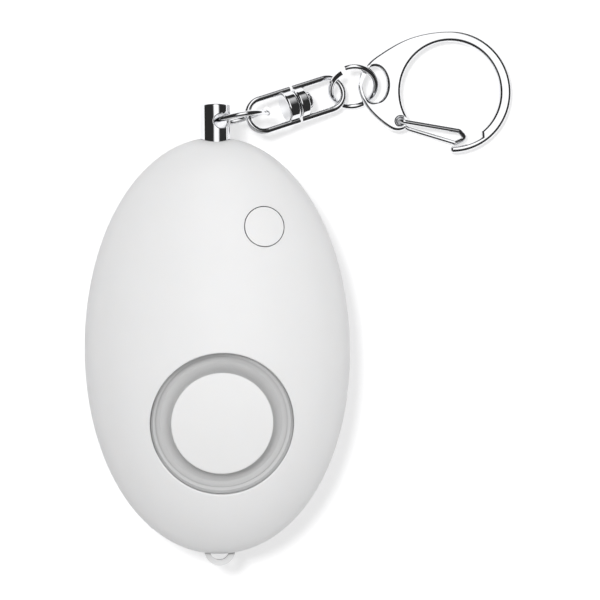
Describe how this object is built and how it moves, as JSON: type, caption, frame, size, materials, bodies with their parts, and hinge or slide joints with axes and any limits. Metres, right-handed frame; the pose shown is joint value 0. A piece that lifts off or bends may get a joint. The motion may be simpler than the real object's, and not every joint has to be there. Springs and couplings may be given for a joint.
{
  "type": "personal safety alarm",
  "caption": "Flat egg-shaped alarm with a round siren cover, a push button and a pull-out pin that carries rings, a swivel and a round snap hook.",
  "frame": {"origin": "middle of the body's length and width, on the flat back face that the alarm rests on", "axes": "+Z out of the flat back towards the siren side, +Y from the lanyard loop to the pull pin, +X to the side that the push button and the snap hook are on"},
  "size_m": [0.0687, 0.0839, 0.022],
  "materials": {
    "white_shell": "satin white moulded plastic",
    "white_cover": "satin white moulded plastic",
    "white_button": "satin white moulded plastic",
    "bright_chrome": "bright nickel or chrome plating",
    "screw_steel": "plain zinc plated steel",
    "cell_steel": "polished nickel plated steel",
    "contact_steel": "nickel plated spring bronze",
    "plate_brass": "rolled brass",
    "disc_ceramic": "silvered ceramic",
    "core_ferrite": "dull dark ferrite",
    "winding_copper": "enamelled copper wire",
    "board_green": "green solder mask on glass fibre board",
    "dark_plastic": "black moulded plastic",
    "resistor_body": "dark glazed chip",
    "foam_grey": "soft foam",
    "shank_white": "natural white nylon",
    "lead_red": "soft insulation",
    "lead_black": "soft insulation",
    "plunger_black": "black nylon"
  },
  "bodies": {
    "housing": {"front_shell": "white_shell", "back_shell": "white_shell", "battery_door": "white_shell", "battery_door_screw": "screw_steel", "housing_screws": "screw_steel", "speaker_cover": "white_cover", "sounder_gasket": "foam_grey", "piezo_plate": "plate_brass", "piezo_ceramic": "disc_ceramic", "sounder_retainer": "white_cover", "tact_switch": "dark_plastic", "circuit_board": "board_green", "board_screws": "screw_steel", "driver_chip": "dark_plastic", "transistor": "dark_plastic", "inductor_core": "core_ferrite", "inductor_winding": "winding_copper", "chip_resistors": "resistor_body", "button_cells": "cell_steel", "battery_contact_positive": "contact_steel", "battery_contact_negative": "contact_steel", "piezo_lead_red": "lead_red", "piezo_lead_black": "lead_black", "contact_block": "dark_plastic", "contact_leaf_left": "contact_steel", "contact_leaf_right": "contact_steel"},
    "button": {"push_button": "white_button", "switch_plunger": "plunger_black"},
    "pull_pin": {"pull_pin_cap": "bright_chrome", "pull_pin_shank": "shank_white"},
    "link_ring": {"link_ring": "bright_chrome"},
    "swivel_front": {"swivel_eye_front": "bright_chrome", "swivel_rivet": "bright_chrome"},
    "swivel_rear": {"swivel_eye_rear": "bright_chrome"},
    "jump_ring": {"jump_ring": "bright_chrome"},
    "hook": {"snap_hook": "bright_chrome"},
    "gate": {"snap_gate": "bright_chrome"}
  },
  "joints": [
    {"name": "button_press", "type": "slide", "parent": "housing", "child": "button", "axis": [0, 0, -1], "range_m": [0, 0.00045], "stiffness_N_per_m": 300},
    {"name": "pin_pull", "type": "slide", "parent": "housing", "child": "pull_pin", "axis": [0, 1, 0], "range_m": [0, 0.018]},
    {"name": "link_ring_swing", "type": "hinge", "parent": "pull_pin", "child": "link_ring", "pos_m": [0, 0.035, 0.0104], "axis": [0.3746, 0, 0.9272], "range_deg": [-8, 150]},
    {"name": "swivel_swing", "type": "hinge", "parent": "link_ring", "child": "swivel_front", "pos_m": [0.00552, 0.03546, 0.00602], "axis": [-0.304, 0.9527, 0], "range_deg": [-45, 60]},
    {"name": "swivel_turn", "type": "hinge", "parent": "swivel_front", "child": "swivel_rear", "pos_m": [0.01316, 0.0379, 0.00401], "axis": [0.9244, 0.295, -0.2419], "continuous": true},
    {"name": "jump_ring_swing", "type": "hinge", "parent": "swivel_rear", "child": "jump_ring", "pos_m": [0.01983, 0.04029, 0.00231], "axis": [-0.304, 0.9527, 0], "range_deg": [-25, 38]},
    {"name": "hook_swing", "type": "hinge", "parent": "jump_ring", "child": "hook", "pos_m": [0.02455, 0.04096, 0.00274], "axis": [0, 0.9397, 0.342], "range_deg": [-35, 30]},
    {"name": "gate_open", "type": "hinge", "parent": "hook", "child": "gate", "pos_m": [0.0299, 0.03515, 0.00226], "axis": [0.0698, 0, 0.9976], "range_deg": [0, 35], "stiffness_Nm_per_rad": 0.02}
  ]
}
